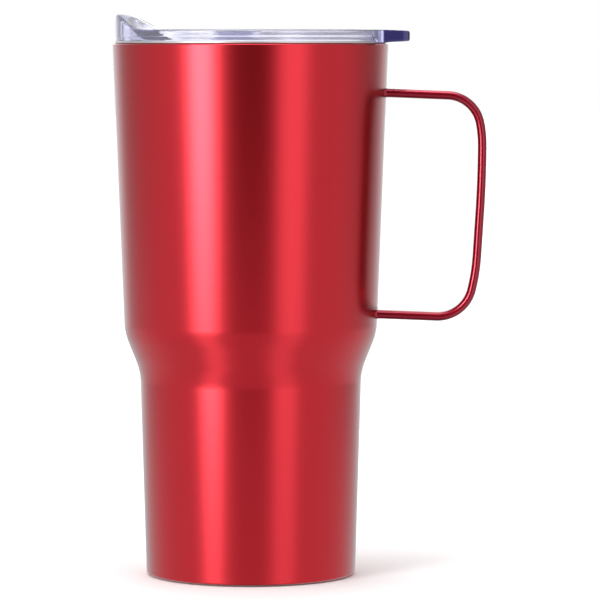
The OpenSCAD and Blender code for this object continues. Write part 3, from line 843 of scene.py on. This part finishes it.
class Sky:
    """The studio as a world: light by azimuth (0 towards the camera's side, positive towards +X)
    and elevation, both in degrees."""

    def __init__(self):
        world = bpy.data.worlds.new("studio")
        world.use_nodes = True
        bpy.context.scene.world = world
        self.tree = world.node_tree
        self.tree.nodes.clear()
        split = self.tree.nodes.new("ShaderNodeSeparateXYZ")
        coords = self.tree.nodes.new("ShaderNodeTexCoord")
        self.tree.links.new(coords.outputs["Generated"], split.inputs[0])
        back = self.math("MULTIPLY", split.outputs["Y"], -1)
        self.az = self.math("MULTIPLY", self.math("ARCTAN2", split.outputs["X"], back), 180 / math.pi)
        self.away = self.math("ABSOLUTE", self.az)
        self.el = self.math("MULTIPLY", self.math("ARCSINE", split.outputs["Z"]), 180 / math.pi)

    def math(self, op, a, b=0.0):
        n = self.tree.nodes.new("ShaderNodeMath")
        n.operation = op
        for socket, v in zip(n.inputs, (a, b)):
            if isinstance(v, (int, float)):
                socket.default_value = v
            else:
                self.tree.links.new(v, socket)
        return n.outputs[0]

    def step(self, source, start, end, low=0.0, high=1.0):
        """A smooth step from low at start to high at end."""
        n = self.tree.nodes.new("ShaderNodeMapRange")
        n.interpolation_type = "SMOOTHSTEP"
        for key, v in (("From Min", start), ("From Max", end), ("To Min", low), ("To Max", high)):
            n.inputs[key].default_value = v
        self.tree.links.new(source, n.inputs["Value"])
        return n.outputs["Result"]

    def total(self, *terms):
        out = terms[0]
        for t in terms[1:]:
            out = self.math("ADD", out, t)
        return out

    def band(self, start, end, soft):
        """1 between two azimuths, with soft edges."""
        rise = self.step(self.az, start - soft, start + soft)
        fall = self.step(self.az, end - soft, end + soft, 1.0, 0.0)
        return self.math("MULTIPLY", rise, fall)


# Softboxes: the azimuths they span and the softness of their edges, in degrees, then their light
LEFT_BOX, LEFT_LOW, LEFT_HIGH = (-51, -31, 3.5), 0.8, 8.5
RIGHT_BOX, RIGHT_LOW, RIGHT_HIGH = (25, 49, 4), 0.45, 0.90
OVERHEAD = 4.2


def make_light():
    """The studio's light as the world, with plain white for what the camera sees directly."""
    sky = Sky()
    # round the horizon: dark behind the camera, even sides, a lighter wall behind the mug
    ring = sky.total(sky.step(sky.away, 12, 28, 0.15, 0.76), sky.step(sky.away, 80, 122, 0.0, -0.36),
                     sky.step(sky.az, -115, -92, 0.14, 0.0), sky.step(sky.away, 130, 156, 0.0, 0.52),
                     sky.step(sky.away, 164, 173, 0.0, 0.75))
    low = sky.step(sky.away, 10, 30, 0.66, 0.78)
    below = sky.step(sky.el, -9.5, -3, 1.0, 0.0)
    above = sky.step(sky.el, 58, 76)
    level = sky.total(ring, sky.math("MULTIPLY", below, sky.math("SUBTRACT", low, ring)))
    overhead = sky.math("MULTIPLY", above, sky.math("SUBTRACT", OVERHEAD, level))
    # two softboxes, the left one brighter and fading downwards
    left = sky.math("MULTIPLY", sky.band(*LEFT_BOX), sky.step(sky.el, -14, 1, LEFT_LOW, LEFT_HIGH))
    right = sky.math("MULTIPLY", sky.band(*RIGHT_BOX), sky.step(sky.el, -14, -8, RIGHT_LOW, RIGHT_HIGH))
    boxes = sky.math("MULTIPLY", sky.total(left, right), sky.step(sky.el, 30, 45, 1.0, 0.0))
    light = sky.math("MULTIPLY", sky.total(level, overhead, boxes), sky.step(sky.el, -78, -56, 0.2, 1.0))
    nodes, links = sky.tree.nodes, sky.tree.links
    lit = nodes.new("ShaderNodeBackground")
    links.new(light, lit.inputs["Color"])
    plain = nodes.new("ShaderNodeBackground")
    plain.inputs["Color"].default_value = (1, 1, 1, 1)
    # the camera sees plain white, and so does what is looked at through the lid towards the back
    path = nodes.new("ShaderNodeLightPath")
    refracted = path.outputs["Is Transmission Ray"]
    through = sky.math("MULTIPLY", refracted, sky.step(sky.away, 10, 50, 0.4, 1.0))
    glow = sky.math("MULTIPLY", refracted, 0.2)
    links.new(sky.math("ADD", glow, 1.0), plain.inputs["Strength"])
    pick = nodes.new("ShaderNodeMixShader")
    links.new(sky.math("MAXIMUM", path.outputs["Is Camera Ray"], through), pick.inputs[0])
    links.new(lit.outputs[0], pick.inputs[1])
    links.new(plain.outputs[0], pick.inputs[2])
    out = nodes.new("ShaderNodeOutputWorld")
    links.new(pick.outputs[0], out.inputs["Surface"])


LENS = 229.0
SIDEWAYS, AWAY, EYE_Z, AIM_Z = 16.0, 1237, 172, 89.1


def make_camera():
    """A long lens 1.24 m away, level with the rim and aimed at the mug's middle."""
    data = bpy.data.cameras.new("camera")
    data.sensor_width = 36
    data.lens = LENS
    data.clip_end = 100
    camera = bpy.data.objects.new("camera", data)
    bpy.context.scene.collection.objects.link(camera)
    aim = Vector((SIDEWAYS, 0, AIM_Z)) * MM
    camera.location = Vector((SIDEWAYS, -AWAY, EYE_Z)) * MM
    camera.rotation_mode = "QUATERNION"
    camera.rotation_quaternion = (aim - camera.location).to_track_quat("-Z", "Y")
    bpy.context.scene.camera = camera


def make_exposure():
    """A plain view with the slight toe of a studio photograph."""
    view = bpy.context.scene.view_settings
    view.view_transform = "Standard"
    view.use_curve_mapping = True
    curve = view.curve_mapping.curves[3]
    for x, y in ((0.012, 0.006), (0.035, 0.027), (0.1, 0.094), (0.25, 0.25)):
        curve.points.new(x, y)
    view.curve_mapping.update()


make_camera()
make_light()
make_floor()
make_body()
make_base()
make_handle()
make_lid()
make_gasket()
make_slide()
dress_hidden()
make_exposure()
